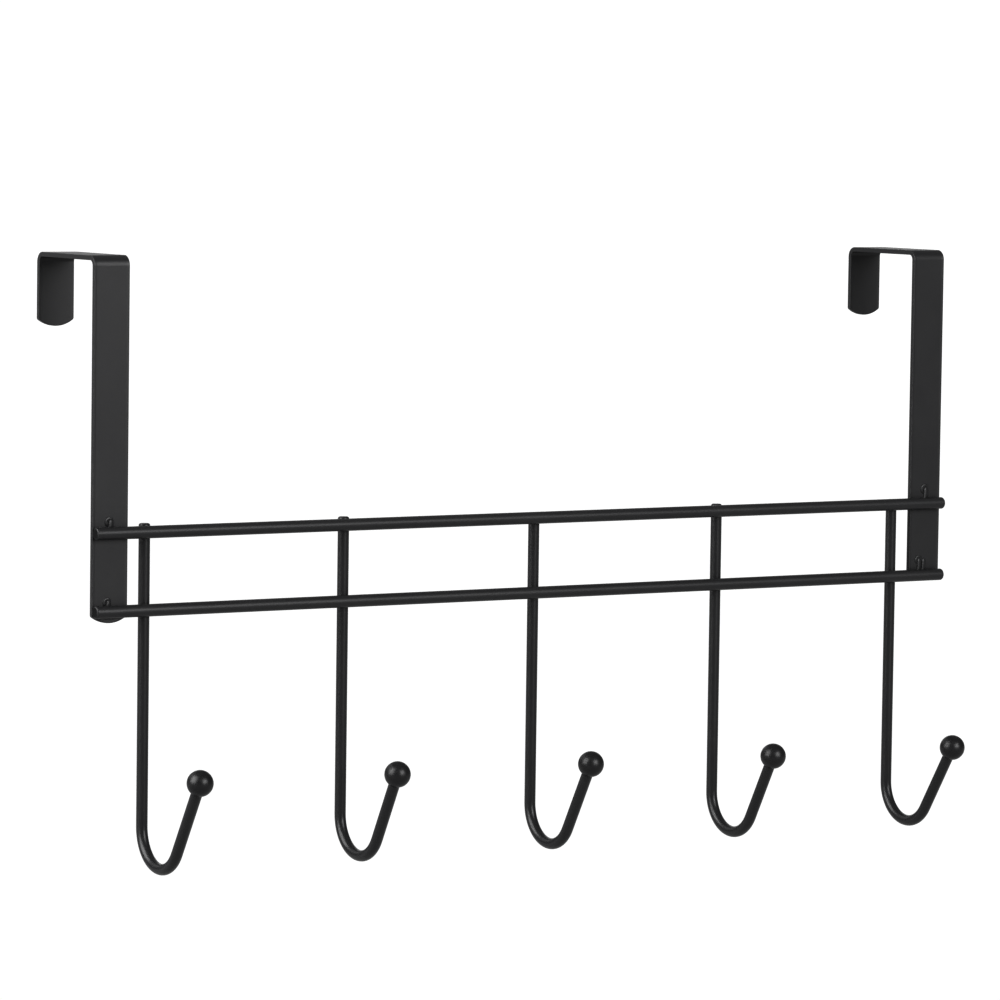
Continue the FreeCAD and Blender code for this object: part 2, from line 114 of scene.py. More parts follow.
def half_size(name, axis):
    low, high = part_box(name)
    return (high[axis] - low[axis]) / 2


def rail_radius():
    return half_size("rail_upper", 2)


def wire_radius():
    return half_size("hook_wire_1", 0)


class RackFinish(bpy.types.PropertyGroup):
    """The coat on every piece."""

    coat_dark: FloatVectorProperty(
        name="Coat, dark", description="Darker tone of the black coat",
        subtype="COLOR", size=3, min=0, max=1, default=(0.022, 0.022, 0.0235))
    coat_light: FloatVectorProperty(
        name="Coat, light", description="Lighter tone of the black coat",
        subtype="COLOR", size=3, min=0, max=1, default=(0.034, 0.034, 0.035))
    gloss_roughness: FloatProperty(
        name="Roughness", description="Mean roughness of the coat",
        subtype="FACTOR", min=0, max=1, default=0.36)
    peel_size: FloatProperty(
        name="Orange peel size", description="Width of the coat's gentle ripples",
        unit="LENGTH", min=0.0002, max=0.01, default=0.0012)
    peel_depth: FloatProperty(
        name="Orange peel depth", description="Height of the coat's ripples",
        unit="LENGTH", min=0, max=0.001, default=0.000015)
    bead_width: FloatProperty(
        name="Edge bead width", description="Width of the coat's faint bead along a strap's edges",
        unit="LENGTH", min=0.0002, max=0.004, default=0.0013)
    bead_height: FloatProperty(
        name="Edge bead height", description="Height of that bead",
        unit="LENGTH", min=0, max=0.0005, default=0.00005)
    # Painted shade: a rail's sheared end gets a darker colour, out to the cut's depth.
    cut_depth: FloatProperty(
        name="Cut depth",
        description="How far the dark of a rail's sheared end reaches back along the rail",
        unit="LENGTH", min=0.00001, max=0.002, default=0.0001)
    # Painted shade: the colour that darkens a rail's sheared end.
    cut_shade_colour: FloatVectorProperty(
        name="Cut", description="Colour of a rail's sheared end",
        subtype="COLOR", size=3, min=0, max=1, default=(0.006, 0.006, 0.0065))
    cut_slant: FloatProperty(
        name="Cut slant",
        description="How much a rail's sheared end slants upwards, as a slope",
        min=0, max=0.5, default=0.11)
    cut_roughness: FloatProperty(
        name="Cut roughness", description="Roughness of a rail's sheared end",
        subtype="FACTOR", min=0, max=1, default=0.28)


class RackWelds(bpy.types.PropertyGroup):
    """Sizes of the welds and of the ball necks."""

    nub_width: FloatProperty(
        name="Nub width",
        description="Width of the nub of weld that stands on a rail against a strap",
        unit="LENGTH", min=0.0005, max=0.006, default=0.0024)
    nub_stand: FloatProperty(
        name="Nub stand-off", description="How far a nub stands out from its strap",
        unit="LENGTH", min=0.0002, max=0.004, default=0.00062)
    ridge_radius: FloatProperty(
        name="Ridge radius", description="Radius of the low ridge round a nub's head",
        unit="LENGTH", min=0.0005, max=0.006, default=0.0023)
    ridge_width: FloatProperty(
        name="Ridge width", description="Width of that ridge",
        unit="LENGTH", min=0.0001, max=0.003, default=0.0014)
    ridge_height: FloatProperty(
        name="Ridge height", description="How far that ridge stands out from its strap",
        unit="LENGTH", min=0.0001, max=0.002, default=0.00034)
    flash_width: FloatProperty(
        name="Flash width",
        description="Width of the ring of metal squeezed out where two wires cross",
        unit="LENGTH", min=0.0005, max=0.006, default=0.0034)
    flash_thickness: FloatProperty(
        name="Flash thickness", description="Thickness of that ring",
        unit="LENGTH", min=0.0001, max=0.002, default=0.0009)
    neck_thickness: FloatProperty(
        name="Neck thickness",
        description="Thickness of the coat's fillet where a wire enters its ball",
        unit="LENGTH", min=0.0001, max=0.002, default=0.0005)


class RackStudio(bpy.types.PropertyGroup):
    """Floor, lights and the way that the picture is framed."""

    side_light: FloatProperty(
        name="Side softbox", description="Power of the softbox beyond the rack's left end",
        unit="POWER", min=0, max=500, default=54.0)
    front_light: FloatProperty(
        name="Front softbox", description="Power of the softbox in front of the rack",
        unit="POWER", min=0, max=500, default=182.0)
    back_light: FloatProperty(
        name="Back panel",
        description="Power of the panel behind the rack, which lights the tops of the straps",
        unit="POWER", min=0, max=500, default=6.0)
    fill_light: FloatProperty(
        name="Back fill", description="Power of the soft light that shows the rack's back",
        unit="POWER", min=0, max=500, default=13.0)
    room_left: FloatProperty(
        name="Room, left",
        description="Brightness of the room's left side in the coat's reflections",
        subtype="FACTOR", min=0, max=1, default=0.52)
    room_right: FloatProperty(
        name="Room, right",
        description="Brightness of the room's right side in the coat's reflections",
        subtype="FACTOR", min=0, max=1, default=0.43)
    room_ceiling: FloatProperty(
        name="Ceiling", description="Brightness of the ceiling in the coat's reflections",
        subtype="FACTOR", min=0, max=1, default=0.72)
    floor_colour: FloatVectorProperty(
        name="Floor", description="Colour of the plain pale floor",
        subtype="COLOR", size=3, min=0, max=1, default=(0.9, 0.9, 0.9))
    floor_bounce: FloatProperty(
        name="Floor bounce", description="Brightness of the floor in the coat's reflections",
        min=0, max=2, default=1.12)
    drop_to_floor: FloatProperty(
        name="Height over floor", description="How high the rack hangs over the floor",
        unit="LENGTH", min=0.0, max=2.0, default=0.35)
    print_contrast: FloatProperty(
        name="Contrast",
        description="Darkens the picture's middle tones, black and white stay as they are",
        min=0.5, max=3, default=1.667)
    lens: FloatProperty(
        name="Lens", description="Focal length of the long lens",
        unit="CAMERA", min=20, max=400, default=198.626)


def rest_selection():
    if bpy.context.object and bpy.context.object.mode != "OBJECT":
        bpy.ops.object.mode_set(mode="OBJECT")
    bpy.ops.object.select_all(action="DESELECT")


def pick_vertices(piece, choose):
    """Selects, in edit mode, the vertices that choose() accepts, and returns to edit mode."""
    bpy.ops.mesh.select_mode(type="VERT")
    bpy.ops.mesh.select_all(action="DESELECT")
    bpy.ops.object.mode_set(mode="OBJECT")
    for vertex in piece.data.vertices:
        vertex.select = choose(vertex.co)
    bpy.ops.object.mode_set(mode="EDIT")


def settle(piece, name, material):
    """Puts a finished piece's place in its mesh, and gives it its finish and its body."""
    bpy.ops.object.transform_apply(location=True, rotation=True, scale=True)
    bpy.ops.object.shade_smooth()
    piece.name = name
    piece.data.name = name
    piece.data.materials.clear()
    piece.data.materials.append(material)
    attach(piece, "root")
    return piece


def copied(source, name, place):
    """A copy with its own mesh, brought to its place within that mesh."""
    twin = source.copy()
    twin.data = source.data.copy()
    twin.name = name
    twin.data.name = name
    twin.data.transform(place)
    bpy.context.scene.collection.objects.link(twin)
    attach(twin, "root")
    return twin


def add_modifier(piece, name, kind, **settings):
    modifier = piece.modifiers.new(name, kind)
    for key, value in settings.items():
        setattr(modifier, key, value)
    bpy.context.view_layer.objects.active = piece
    bpy.ops.object.modifier_apply(modifier=modifier.name)


# Coat: one node group for the skin, one material for each kind of piece.
def set_inputs(node, **values):
    """Each value goes to the input that its key names, with _ for a space."""
    for key, value in values.items():
        node.inputs[key.replace("_", " ")].default_value = value


def add_node(nodes, kind, location, **values):
    node = nodes.new(kind)
    node.location = location
    set_inputs(node, **values)
    return node


def add_math(nodes, operation, location, *values):
    """A Math node; a value of None leaves that input to be linked."""
    step = add_node(nodes, "ShaderNodeMath", location)
    step.operation = operation
    for socket, value in zip(step.inputs, values):
        if value is not None:
            socket.default_value = value
    return step


def add_mix(nodes, kind, location):
    """A Mix node for colours, RGBA, or for numbers, FLOAT."""
    mix = add_node(nodes, "ShaderNodeMix", location)
    mix.data_type = kind
    return mix


def new_group(name, inputs, outputs):
    """An empty group of nodes with its sockets, each given by name and kind."""
    group = bpy.data.node_groups.new(name, "ShaderNodeTree")
    for way, sockets in (("INPUT", inputs), ("OUTPUT", outputs)):
        for socket, kind in sockets:
            group.interface.new_socket(name=socket, in_out=way, socket_type=kind)
    return group


def skin_group():
    """Powder coat skin: slow changes of tone and gloss, gentle ripples and fine grain."""
    group = bpy.data.node_groups.get("Powder coat skin")
    if group:
        return group
    group = new_group(
        "Powder coat skin",
        (("Dark tone", COLOUR), ("Light tone", COLOUR), ("Roughness low", NUMBER),
         ("Roughness high", NUMBER), ("Ripple scale", NUMBER), ("Grain share", NUMBER)),
        (("Colour", COLOUR), ("Roughness", NUMBER), ("Height", NUMBER)))
    nodes, link = group.nodes, group.links.new
    given = add_node(nodes, "NodeGroupInput", (-900, 0))
    result = add_node(nodes, "NodeGroupOutput", (500, 0))
    place = add_node(nodes, "ShaderNodeTexCoord", (-900, 300))
    cloudy = add_node(
        nodes, "ShaderNodeTexNoise", (-600, 300), Scale=CLOUD_SCALE, Detail=5.0, Roughness=0.6)
    ripple = add_node(nodes, "ShaderNodeTexNoise", (-600, 0), Detail=1.5, Roughness=0.45)
    grain = add_node(nodes, "ShaderNodeTexNoise", (-600, -300), Scale=GRAIN_SCALE, Detail=2.0)
    for noise in (cloudy, ripple, grain):
        link(place.outputs["Object"], noise.inputs["Vector"])
    link(given.outputs["Ripple scale"], ripple.inputs["Scale"])

    tone = add_mix(nodes, "RGBA", (100, 300))
    link(cloudy.outputs["Fac"], tone.inputs["Factor"])
    link(given.outputs["Dark tone"], tone.inputs["A"])
    link(given.outputs["Light tone"], tone.inputs["B"])
    link(tone.outputs["Result"], result.inputs["Colour"])

    speckle = add_math(nodes, "MULTIPLY", (-400, -120), None, 1 - CLOUDS_IN_GLOSS)
    patches = add_math(nodes, "MULTIPLY_ADD", (-250, 60), None, CLOUDS_IN_GLOSS)
    gloss = add_node(
        nodes, "ShaderNodeMapRange", (-50, 60), From_Min=NOISE_RANGE[0], From_Max=NOISE_RANGE[1])
    link(grain.outputs["Fac"], speckle.inputs[0])
    link(cloudy.outputs["Fac"], patches.inputs[0])
    link(speckle.outputs[0], patches.inputs[2])
    link(patches.outputs[0], gloss.inputs["Value"])
    link(given.outputs["Roughness low"], gloss.inputs["To Min"])
    link(given.outputs["Roughness high"], gloss.inputs["To Max"])
    link(gloss.outputs["Result"], result.inputs["Roughness"])

    height = add_math(nodes, "MULTIPLY_ADD", (100, -250))
    link(grain.outputs["Fac"], height.inputs[0])
    link(given.outputs["Grain share"], height.inputs[1])
    link(ripple.outputs["Fac"], height.inputs[2])
    link(height.outputs[0], result.inputs["Height"])
    return group


def coat(name, tone_share=1.0, roughness_shift=0.0, grain_share=0.25, ripple_depth=1.0):
    """A satin black powder coat; its shares make it rougher or livelier, and darker as painted
    shade.
    """
    finish = bpy.context.scene.rack_finish
    material = bpy.data.materials.new(name)
    material.use_nodes = True
    nodes, link = material.node_tree.nodes, material.node_tree.links.new
    surface = nodes["Principled BSDF"]
    surface.inputs["IOR"].default_value = 1.5
    roughness = finish.gloss_roughness + roughness_shift
    skin = add_node(nodes, "ShaderNodeGroup", (-700, 0))
    skin.name = "skin"
    skin.node_tree = skin_group()
    set_inputs(
        skin,
        # Painted shade: the tone share darkens both tones of the one coat for this piece.
        Dark_tone=(*(part * tone_share for part in finish.coat_dark), 1),
        Light_tone=(*(part * tone_share for part in finish.coat_light), 1),
        Roughness_low=roughness - ROUGHNESS_SPREAD,
        Roughness_high=roughness + ROUGHNESS_SPREAD,
        Ripple_scale=1 / finish.peel_size,
        Grain_share=grain_share)
    depth = add_math(nodes, "MULTIPLY", (-480, -250), None, finish.peel_depth * ripple_depth)
    depth.name = "depth"
    bump = add_node(nodes, "ShaderNodeBump", (-250, -250), Strength=1.0, Distance=1.0)
    bump.name = "bump"
    link(skin.outputs["Height"], depth.inputs[0])
    link(depth.outputs[0], bump.inputs["Height"])
    link(skin.outputs["Colour"], surface.inputs["Base Color"])
    link(skin.outputs["Roughness"], surface.inputs["Roughness"])
    link(bump.outputs["Normal"], surface.inputs["Normal"])
    return material


def place_group():
    """The place on the rack: how far from the middle between the straps, and at what level."""
    group = bpy.data.node_groups.get("Place on the rack")
    if group:
        return group
    group = new_group("Place on the rack", (), (("Along", NUMBER), ("Level", NUMBER)))
    nodes, link = group.nodes, group.links.new
    place = add_node(nodes, "ShaderNodeTexCoord", (-400, 0))
    split = add_node(nodes, "ShaderNodeSeparateXYZ", (-220, 0))
    out = add_math(nodes, "ABSOLUTE", (-50, 60))
    result = add_node(nodes, "NodeGroupOutput", (130, 0))
    link(place.outputs["Object"], split.inputs["Vector"])
    link(split.outputs["X"], out.inputs[0])
    link(out.outputs[0], result.inputs["Along"])
    link(split.outputs["Z"], result.inputs["Level"])
    return group


def add_place(nodes):
    place = add_node(nodes, "ShaderNodeGroup", (-1350, -400))
    place.node_tree = place_group()
    return place


def raise_height(material, height):
    """Adds a height to that of the material's skin."""
    nodes, link = material.node_tree.nodes, material.node_tree.links.new
    both = add_math(nodes, "ADD", (-480, -420))
    link(nodes["depth"].outputs[0], both.inputs[0])
    link(height, both.inputs[1])
    link(both.outputs[0], nodes["bump"].inputs["Height"])


def add_bead(nodes, location, edge):
    """Rises to the height of the coat's bead where the distance linked to it nears the edge's."""
    finish = bpy.context.scene.rack_finish
    rise = add_node(
        nodes, "ShaderNodeMapRange", location,
        From_Min=edge - finish.bead_width,
        From_Max=edge - finish.bead_width * BEAD_CREST,
        To_Max=finish.bead_height)
    rise.interpolation_type = "SMOOTHERSTEP"
    return rise


def strip_coat():
    """The coat on the straps, with a faint bead along their long edges and the lower foot."""
    material = coat("Coat on bent strip", roughness_shift=0.05)
    nodes, link = material.node_tree.nodes, material.node_tree.links.new
    low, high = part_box("strap_right")
    place = add_place(nodes)
    inward = add_math(nodes, "SUBTRACT", (-1170, -400), None, (low[0] + high[0]) / 2)
    apart = add_math(nodes, "ABSOLUTE", (-1000, -400))
    side = add_bead(nodes, (-820, -400), half_size("strap_right", 0))
    link(place.outputs["Along"], inward.inputs[0])
    link(inward.outputs[0], apart.inputs[0])
    link(apart.outputs[0], side.inputs["Value"])

    # the foot's bead follows its arc: only what is under the arc's centre counts as down
    foot_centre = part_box("strap_left")[0][2] + FOOT_RADIUS
    over = add_math(nodes, "SUBTRACT", (-1170, -700), None, foot_centre)
    under = add_math(nodes, "MINIMUM", (-1000, -700), None, 0.0)
    arm = add_node(nodes, "ShaderNodeCombineXYZ", (-1000, -850))
    reach = add_node(nodes, "ShaderNodeVectorMath", (-820, -850))
    reach.operation = "LENGTH"
    foot = add_bead(nodes, (-640, -700), FOOT_RADIUS)
    link(place.outputs["Level"], over.inputs[0])
    link(over.outputs[0], under.inputs[0])
    link(inward.outputs[0], arm.inputs["X"])
    link(under.outputs[0], arm.inputs["Y"])
    link(arm.outputs["Vector"], reach.inputs[0])
    link(reach.outputs["Value"], foot.inputs["Value"])

    either = add_math(nodes, "MAXIMUM", (-640, -500))
    link(side.outputs["Result"], either.inputs[0])
    link(foot.outputs["Result"], either.inputs[1])
    raise_height(material, either.outputs[0])
    return material


def rail_coat():
    """The coat on the rails, whose sheared ends have painted shade, are smooth and slightly
    slanted.
    """
    finish = bpy.context.scene.rack_finish
    material = coat("Coat on rail", roughness_shift=0.05, grain_share=0.15, ripple_depth=0.5)
    nodes, link = material.node_tree.nodes, material.node_tree.links.new
    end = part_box("rail_upper")[1][0]
    upper = rail_level("rail_upper")
    half_pitch = (upper - rail_level("rail_lower")) / 2
    place = add_place(nodes)
    # The cut mask marks a rail's sheared end, for its painted shade, its slant and its roughness.
    cut = add_node(
        nodes, "ShaderNodeMapRange", (-900, 320),
        From_Min=end - finish.cut_depth,
        From_Max=end - finish.cut_depth * CUT_CREST)
    link(place.outputs["Along"], cut.inputs["Value"])

    # the level over either rail's axis gives the slant, at the cut alone
    wrapped = add_math(
        nodes, "WRAP", (-1150, -650), None, upper + half_pitch, upper - half_pitch)
    over_axis = add_math(nodes, "SUBTRACT", (-980, -650), None, upper)
    slant = add_math(nodes, "MULTIPLY", (-820, -650), None, -finish.cut_slant)
    share = add_math(nodes, "MULTIPLY", (-660, -550))
    link(place.outputs["Level"], wrapped.inputs[0])
    link(wrapped.outputs[0], over_axis.inputs[0])
    link(over_axis.outputs[0], slant.inputs[0])
    link(slant.outputs[0], share.inputs[0])
    link(cut.outputs["Result"], share.inputs[1])
    raise_height(material, share.outputs[0])

    # Painted shade: the cut mask darkens the end's base colour; it also sets the end's roughness.
    for kind, height, look, socket, value in (
        ("RGBA", 320, "Colour", "Base Color", (*finish.cut_shade_colour, 1)),
        ("FLOAT", 120, "Roughness", "Roughness", finish.cut_roughness),
    ):
        mix = add_mix(nodes, kind, (-300, height))
        mix.inputs["B"].default_value = value
        link(cut.outputs["Result"], mix.inputs["Factor"])
        link(nodes["skin"].outputs[look], mix.inputs["A"])
        link(mix.outputs["Result"], nodes["Principled BSDF"].inputs[socket])
    return material


def wire_coat():
    # Painted shade: the wires get the same coat with its tone a little darker.
    return coat(
        "Coat on wire", tone_share=0.86, roughness_shift=-0.03, grain_share=0.1, ripple_depth=0.3)


def shared_coat(name, **shares):
    """A coat that several steps use, made by the first of them."""
    return bpy.data.materials.get(name) or coat(name, **shares)


def ball_coat():
    # Painted shade: the balls and their necks get the same coat with its tone darker.
    return shared_coat(
        "Coat on ball", tone_share=0.62, roughness_shift=0.01, grain_share=0.05, ripple_depth=0.03)


def weld_coat():
    return shared_coat("Coat on weld", grain_share=0.4, ripple_depth=0.8)


class RACK_OT_coat(bpy.types.Operator):
    """Gives the straps, rails, hook wires and balls their satin black coat"""

    bl_idname = "rack.coat"
    bl_label = "Coat the rack"

    def execute(self, context):
        kinds = (
            ("strap_", strip_coat()),
            ("rail_", rail_coat()),
            ("hook_wire_", wire_coat()),
            ("hook_ball_", ball_coat()),
        )
        for name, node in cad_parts.items():
            for start, material in kinds:
                if name.startswith(start):
                    if not node.material_slots:
                        raise RuntimeError(f"{name} has no material slot")
                    for place in node.material_slots:
                        place.material = material
        return {"FINISHED"}


class RACK_OT_weld_nubs(bpy.types.Operator):
    """Models the nubs of weld on the rails against the straps, and the ridges round them"""

    bl_idname = "rack.weld_nubs"
    bl_label = "Weld nubs"

    # As shares of the nub's own size: its rounded head, the outer part whose crest is drawn to the
    # left and by how much, and how its foot spreads and stands out; then the levels from which the
    # head leans back to the strap, with what each leaves of its width and stand-off.
    HEAD = 0.3
    CREST = 0.4
    CREST_SHIFT = 0.15
    FOOT_SPREAD = 1.3
    FOOT_STAND = 0.8
    LEAN_LEVELS = (0.69, 0.76, 0.83, 0.9, 0.95)
    LEAN = (0.98, 0.87, 1.0)
    # A vertex nearer than this to the rail's own level counts as on it.
    LEVEL_SLACK = 0.02
    # The lines across the ridge, as shares of its radius, past each of which it sinks a step.
    SINK_LINES = (0.2, -0.1, -0.4, -0.7)
    SINK_STEP = 0.3

    def execute(self, context):
        welds = context.scene.rack_welds
        nub, ridge = self.one_nub(welds), self.one_ridge(welds)
        # for the nub: shift from the strap's centre line, height of the head, share of its width;
        # for the ridge: shift, height of its top, share of its size
        marks = (
            ("left", "upper", "", (0.0003, 0.0031, 1.0), (-0.0004, 0.0041, 1.0)),
            ("left", "lower", "", (-0.0006, 0.0022, 0.9), (-0.0011, 0.0032, 0.95)),
            ("right", "upper", "", (0.0006, 0.0047, 1.1), (0.0, 0.0062, 1.1)),
            ("right", "lower", "_a", (-0.0025, 0.0051, 0.95), (-0.0029, 0.0063, 0.95)),
            ("right", "lower", "_b", (0.0, 0.0049, 0.95), None),
        )
        for side, row, which, (shift, head, share), arc in marks:
            name = f"{side}_{row}{which}"
            centre = node_middle(f"strap_{side}").x
            level = rail_level(f"rail_{row}") + rail_radius()
            place = Matrix.Translation((centre + shift, 0, level))
            place = place @ Matrix.Diagonal((share, 1, head, 1))
            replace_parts(copied(nub, f"weld_nub_{name}", place), f"weld_tacks_{side}")
            if arc:
                shift, top, share = arc
                middle = level + top - welds.ridge_radius * share
                place = Matrix.Translation((centre + shift, 0, middle))
                place = place @ Matrix.Diagonal((share, 1, share, 1))
                copied(ridge, f"weld_ridge_{name}", place)
        bpy.data.objects.remove(nub)
        bpy.data.objects.remove(ridge)
        return {"FINISHED"}

    def one_nub(self, welds):
        """A nub one metre high over its rail, which its copies draw down to their own height."""
        rest_selection()
        half = welds.nub_width / 2
        bpy.ops.mesh.primitive_uv_sphere_add(
            segments=32, ring_count=24, radius=1, location=(0, 0, 0))
        nub = bpy.context.object
        bpy.ops.object.mode_set(mode="EDIT")
        bpy.ops.mesh.select_all(action="SELECT")
        bpy.ops.transform.resize(value=(half, welds.nub_stand, self.HEAD))
        pick_vertices(nub, lambda at: at.z > self.LEVEL_SLACK)
        bpy.ops.transform.translate(value=(0, 0, 1 - self.HEAD))
        pick_vertices(nub, lambda at: at.y < -self.CREST * welds.nub_stand)
        bpy.ops.transform.translate(value=(-half * self.CREST_SHIFT, 0, 0))
        # the foot runs into the rail, where it spreads, but it stands out less than the head
        pick_vertices(nub, lambda at: at.z < -self.LEVEL_SLACK)
        bpy.ops.transform.resize(value=(self.FOOT_SPREAD, 1.0, 1.0))
        pick_vertices(nub, lambda at: at.z < self.LEVEL_SLACK)
        bpy.ops.transform.resize(value=(1.0, self.FOOT_STAND, 1.0))
        for level in self.LEAN_LEVELS:
            pick_vertices(nub, lambda at: at.z > level)
            bpy.ops.transform.resize(value=self.LEAN)
        bpy.ops.object.mode_set(mode="OBJECT")
        add_modifier(nub, "Smooth", "SMOOTH", factor=0.4, iterations=2)
        return settle(nub, "weld_nub", weld_coat())

    def one_ridge(self, welds):
        """A low ridge, highest at its upper left and sinking into the strap at its lower right."""
        rest_selection()
        radius, half = welds.ridge_radius, welds.ridge_width / 2
        bpy.ops.mesh.primitive_torus_add(
            major_segments=56, minor_segments=20, location=(0, 0, 0), rotation=(pi / 2, 0, 0),
            major_radius=radius - half, minor_radius=half)
        ridge = bpy.context.object
        bpy.ops.object.transform_apply(location=True, rotation=True, scale=True)
        bpy.ops.object.mode_set(mode="EDIT")
        bpy.ops.mesh.select_all(action="SELECT")
        bpy.ops.transform.resize(value=(1.0, welds.ridge_height / half, 1.0))
        for line in self.SINK_LINES:
            pick_vertices(ridge, lambda at: at.z - at.x < line * radius)
            bpy.ops.transform.translate(value=(0, welds.ridge_height * self.SINK_STEP, 0))
        bpy.ops.object.mode_set(mode="OBJECT")
        add_modifier(ridge, "Smooth", "SMOOTH", factor=0.5, iterations=4)
        return settle(ridge, "weld_ridge", weld_coat())


class RACK_OT_weld_flash(bpy.types.Operator):
    """Models the ring of metal squeezed out where each hook wire crosses a rail"""

    bl_idname = "rack.weld_flash"
    bl_label = "Weld flash"

    # Where the ring's corners begin, out from its middle, and how much larger they are.
    CORNER = 0.0006
    CORNER_SIZE = (1.12, 1.25, 1.12)

    def execute(self, context):
        welds = context.scene.rack_welds
        rest_selection()
        bpy.ops.mesh.primitive_torus_add(
            major_segments=40, minor_segments=12, location=(0, 0, 0), rotation=(pi / 2, 0, 0),
            major_radius=welds.flash_width / 2, minor_radius=welds.flash_thickness / 2)
        ring = bpy.context.object
        bpy.ops.object.transform_apply(location=True, rotation=True, scale=True)
        bpy.ops.object.mode_set(mode="EDIT")
        # the corners between the two wires hold more metal than the sides
        for side in (-1, 1):
            for height in (-1, 1):
                pick_vertices(
                    ring, lambda at: at.x * side > self.CORNER and at.z * height > self.CORNER)
                bpy.ops.transform.resize(value=self.CORNER_SIZE)
        bpy.ops.object.mode_set(mode="OBJECT")
        add_modifier(ring, "Smooth", "SMOOTH", factor=0.5, iterations=4)
        ring = settle(ring, "weld_flash", weld_coat())
        for row in ("upper", "lower"):
            for number in HOOKS:
                place = Matrix.Translation((hook_x(number), 0, rail_level(f"rail_{row}")))
                copied(ring, f"weld_flash_{row}_{number}", place)
        bpy.data.objects.remove(ring)
        return {"FINISHED"}


class RACK_OT_ball_necks(bpy.types.Operator):
    """Models the fillet of coat where each wire enters its ball"""

    bl_idname = "rack.ball_necks"
    bl_label = "Ball necks"

    # As shares of half the fillet's thickness: how deep it sits in the wire, where its lower part
    # begins and how far that is drawn down; and what is left of that part's width.
    SEAT = 0.3
    LOWER_PART = 0.1
    DRAW = 2.2
    THINNED = 0.93

    def execute(self, context):
        welds = context.scene.rack_welds
        neck = self.one_neck(welds)
        for number in HOOKS:
            place = Matrix.Translation(node_middle(f"hook_ball_{number}"))
            copied(neck, f"ball_neck_{number}", place @ Matrix.Rotation(self.lean(number), 4, "X"))
        bpy.data.objects.remove(neck)
        return {"FINISHED"}

    def lean(self, number):
        """How far a hook's free end leans from upright, by where its ball is over its bend."""
        low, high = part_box(f"hook_wire_{number}")
        ball = node_middle(f"hook_ball_{number}")
        upright = high[1] - wire_radius()
        across = upright - BEND_RADIUS - ball.y
        up = ball.z - (low[2] + wire_radius() + BEND_RADIUS)
        return atan2(across, up) - asin(BEND_RADIUS / hypot(across, up))

    def one_neck(self, welds):
        """A fillet round the wire just under the ball, with the ball's centre as its origin."""
        rest_selection()
        half = welds.neck_thickness / 2
        reach = (half_size("hook_ball_1", 0) ** 2 - wire_radius() ** 2) ** 0.5
        bpy.ops.mesh.primitive_torus_add(
            major_segments=48, minor_segments=12, location=(0, 0, -reach),
            major_radius=wire_radius() - half * self.SEAT, minor_radius=half)
        neck = bpy.context.object
        bpy.ops.object.transform_apply(location=True, rotation=True, scale=True)
        bpy.ops.object.mode_set(mode="EDIT")
        # the lower part is drawn down the wire and thinned till it is flush
        pick_vertices(neck, lambda at: at.z < -reach - half * self.LOWER_PART)
        bpy.ops.transform.translate(value=(0, 0, -half * self.DRAW))
        bpy.ops.transform.resize(value=(self.THINNED, self.THINNED, 1.0))
        bpy.ops.object.mode_set(mode="OBJECT")
        add_modifier(neck, "Smooth", "SMOOTH", factor=0.5, iterations=2)
        return settle(neck, "ball_neck", ball_coat())


# Stage: floor, softboxes, room light and camera.
def floor_material(studio):
    """A pale floor that the camera sees evenly lit, and that bounces only a little light."""
    material = bpy.data.materials.new("Pale floor")
    material.use_nodes = True
    nodes, link = material.node_tree.nodes, material.node_tree.links.new
    nodes.clear()
    ray = add_node(nodes, "ShaderNodeLightPath", (-600, 0))
    strength = add_node(
        nodes, "ShaderNodeMapRange", (-400, 0), To_Min=studio.floor_bounce, To_Max=FLOOR_SEEN)
    glow = add_node(nodes, "ShaderNodeEmission", (-200, 0), Color=(*studio.floor_colour, 1))
    result = add_node(nodes, "ShaderNodeOutputMaterial", (0, 0))
    link(ray.outputs["Is Camera Ray"], strength.inputs["Value"])
    link(strength.outputs["Result"], glow.inputs["Strength"])
    link(glow.outputs["Emission"], result.inputs["Surface"])
    return material


def room_light(studio):
    """White where the camera looks past the rack; the coat reflects a room, dimmer to the right."""
    world = bpy.context.scene.world or bpy.data.worlds.new("Studio")
    bpy.context.scene.world = world
    world.use_nodes = True
    nodes, link = world.node_tree.nodes, world.node_tree.links.new
    nodes.clear()
    way = add_node(nodes, "ShaderNodeTexCoord", (-1000, 0))
    split = add_node(nodes, "ShaderNodeSeparateXYZ", (-820, 0))
    dim = add_node(
        nodes, "ShaderNodeMapRange", (-640, 150), From_Min=ROOM_DIMS[0], From_Max=ROOM_DIMS[1],
        To_Min=studio.room_left, To_Max=studio.room_right)
    above = add_node(
        nodes, "ShaderNodeMapRange", (-640, -150), From_Min=CEILING_BEGINS[0],
        From_Max=CEILING_BEGINS[1])
    walls = add_mix(nodes, "FLOAT", (-460, 0))
    walls.inputs["B"].default_value = studio.room_ceiling
    ray = add_node(nodes, "ShaderNodeLightPath", (-280, 300))
    room = add_node(nodes, "ShaderNodeBackground", (-280, 0))
    white = add_node(nodes, "ShaderNodeBackground", (-280, -150), Color=WHITE_SEEN)
    either = add_node(nodes, "ShaderNodeMixShader", (-100, 0))
    result = add_node(nodes, "ShaderNodeOutputWorld", (80, 0))
    link(way.outputs["Generated"], split.inputs["Vector"])
    link(split.outputs["X"], dim.inputs["Value"])
    link(split.outputs["Z"], above.inputs["Value"])
    link(above.outputs["Result"], walls.inputs["Factor"])
    link(dim.outputs["Result"], walls.inputs["A"])
    link(walls.outputs["Result"], room.inputs["Strength"])
    link(ray.outputs["Is Camera Ray"], either.inputs["Fac"])
    link(room.outputs["Background"], either.inputs[1])
    link(white.outputs["Background"], either.inputs[2])
    link(either.outputs["Shader"], result.inputs["Surface"])


